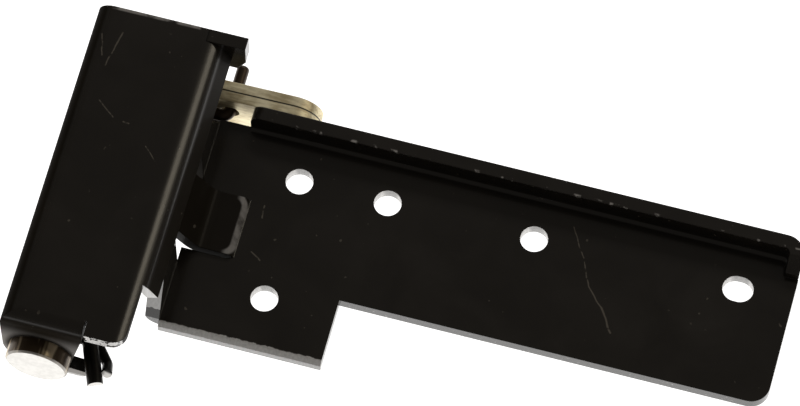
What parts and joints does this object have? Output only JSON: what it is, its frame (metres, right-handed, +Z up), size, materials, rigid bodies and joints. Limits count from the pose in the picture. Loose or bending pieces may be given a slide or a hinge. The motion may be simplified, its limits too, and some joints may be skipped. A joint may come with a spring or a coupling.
{
  "type": "t hinge",
  "caption": "Spring-loaded T hinge: a bent sheet housing on a headed pin, and a long flanged door leaf that swings on it.",
  "frame": {"origin": "centre of the hinge pin head's outer face, on the swing axis", "axes": "+X along the door leaf, +Y along the swing axis from the pin's head to its plain end, +Z up out of the housing's front"},
  "size_m": [0.1353, 0.0695, 0.0222],
  "materials": {
    "black_paint": "gloss black paint on steel sheet",
    "clear_zinc": "bright clear zinc",
    "dark_steel": "oiled dark wire",
    "yellow_zinc": "yellow zinc on steel plate"
  },
  "bodies": {
    "bracket": {"housing_shell": "black_paint", "top_end_plate": "black_paint", "hinge_pin": "clear_zinc", "cotter_pin": "dark_steel", "thrust_washer": "clear_zinc", "spacer_tube": "clear_zinc", "top_washer": "clear_zinc", "torsion_spring": "dark_steel"},
    "leaf": {"door_leaf": "black_paint", "arm_plate_near": "yellow_zinc", "arm_plate_far": "yellow_zinc"}
  },
  "joints": [
    {"name": "leaf_swing", "type": "hinge", "parent": "bracket", "child": "leaf", "pos_m": [0, 0, 0], "axis": [0, 1, 0], "range_deg": [0, 70], "stiffness_Nm_per_rad": 1.75, "springref_deg": -5.73, "deforming": ["torsion_spring"]}
  ]
}
